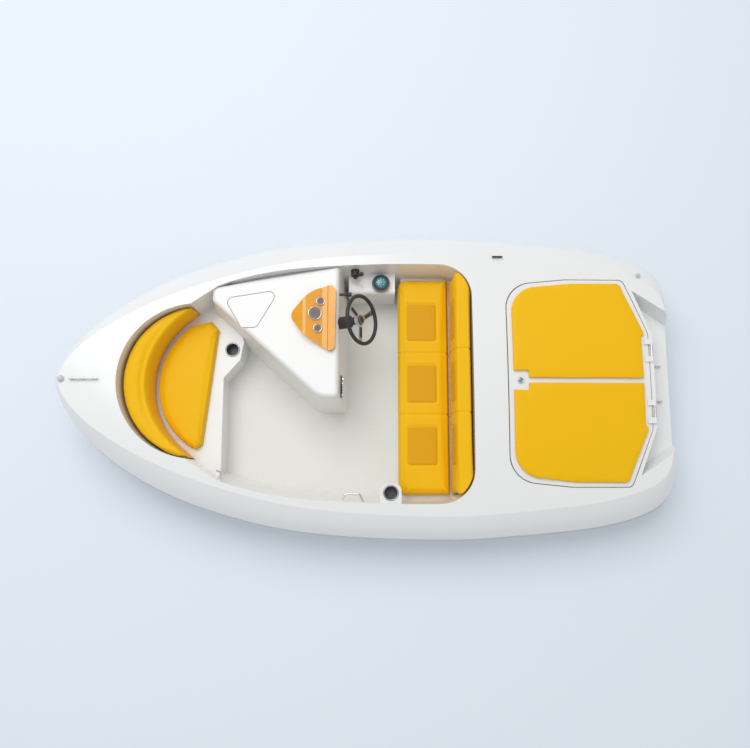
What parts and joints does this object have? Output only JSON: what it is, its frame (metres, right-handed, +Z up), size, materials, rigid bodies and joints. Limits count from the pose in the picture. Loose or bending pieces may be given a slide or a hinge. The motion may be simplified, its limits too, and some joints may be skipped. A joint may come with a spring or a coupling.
{
  "type": "open jet sport boat",
  "caption": "Small open jet boat with a side console, bow seat, bench, sun pad on the engine hatch, steered jet nozzle and reverse bucket; floats on water.",
  "frame": {"origin": "on the centreline amidships, at the waterline", "axes": "+X to the bow, +Y to port, +Z up"},
  "size_m": [4.2797, 2.1602, 1.1285],
  "materials": {
    "gelcoat": "glossy white gelcoat",
    "sole_white": "moulded non-slip gelcoat",
    "vinyl_yellow": "yellow marine vinyl",
    "pod_yellow": "yellow moulding",
    "steel": "polished stainless steel",
    "alloy": "satin alloy",
    "black_rubber": "black grip",
    "black_plastic": "black moulding",
    "rail_rubber": "light grey rub rail",
    "grey_plastic": "grey moulding",
    "dial": "instrument dial",
    "lens": "clear lamp lens",
    "engine_grey": "engine block paint",
    "seal_rubber": "hatch seal"
  },
  "bodies": {
    "boat": {"hull": "gelcoat", "deck": "gelcoat", "rub_rail": "rail_rubber", "cockpit_sole": "sole_white", "console": "gelcoat", "dash_pod": "pod_yellow", "gauges": "dial", "audio_panel": "grey_plastic", "steering_column": "black_plastic", "kill_switch": "black_plastic", "side_box": "gelcoat", "throttle_lever": "black_plastic", "compass": "dial", "grab_handle": "steel", "rope_hook": "steel", "bow_seat_panel": "gelcoat", "bow_cushion": "vinyl_yellow", "bow_backrest": "vinyl_yellow", "bench_base": "gelcoat", "bench_cushion": "vinyl_yellow", "bench_backrest": "vinyl_yellow", "cup_shelf": "gelcoat", "cup_holders": "grey_plastic", "bow_cleat": "steel", "bow_light": "lens", "bow_eye": "steel", "side_cleat": "steel", "stern_light": "lens", "transom_eyes": "steel", "hatch_hinges": "steel", "hatch_seal": "seal_rubber", "engine": "engine_grey", "jet_pump": "alloy", "intake_grate": "alloy", "ride_plate": "alloy"},
    "steering_wheel": {"wheel_rim": "black_rubber", "wheel_spokes": "alloy"},
    "engine_hatch_lid": {"engine_hatch": "gelcoat", "hatch_latch": "steel", "sunpad_port": "vinyl_yellow", "sunpad_starboard": "vinyl_yellow"},
    "locker_hatch": {"locker_lid": "gelcoat", "locker_latch": "steel"},
    "rotor": {"impeller": "steel", "drive_shaft": "steel"},
    "nozzle": {"steering_nozzle": "alloy"},
    "bucket": {"reverse_bucket": "alloy"}
  },
  "joints": [
    {"name": "steering_wheel_turn", "type": "hinge", "parent": "boat", "child": "steering_wheel", "pos_m": [0.028, -0.388, 0.704], "axis": [-0.8191, 0, 0.5736], "range_deg": [-450, 450]},
    {"name": "nozzle_steer", "type": "hinge", "parent": "boat", "child": "nozzle", "pos_m": [-1.862, 0, -0.12], "axis": [0, 0, -1], "range_deg": [-26, 26]},
    {"name": "reverse_bucket_swing", "type": "hinge", "parent": "nozzle", "child": "bucket", "pos_m": [-1.915, 0, -0.12], "axis": [0, -1, 0], "range_deg": [0, 75]},
    {"name": "impeller_spin", "type": "hinge", "parent": "boat", "child": "rotor", "pos_m": [-1.66, 0, -0.12], "axis": [1, 0, 0], "continuous": true},
    {"name": "engine_hatch_hinge", "type": "hinge", "parent": "boat", "child": "engine_hatch_lid", "pos_m": [-1.948, 0, 0.55839], "axis": [0, -1, 0], "range_deg": [0, 72]},
    {"name": "locker_hatch_hinge", "type": "hinge", "parent": "boat", "child": "locker_hatch", "pos_m": [0.6, -0.616, 0.61369], "axis": [0.9875, 0.1317, -0.0864], "range_deg": [0, 95]}
  ],
  "couplings": [
    {"joint": "nozzle_steer", "follows": "steering_wheel_turn", "ratio": 0.055556}
  ]
}
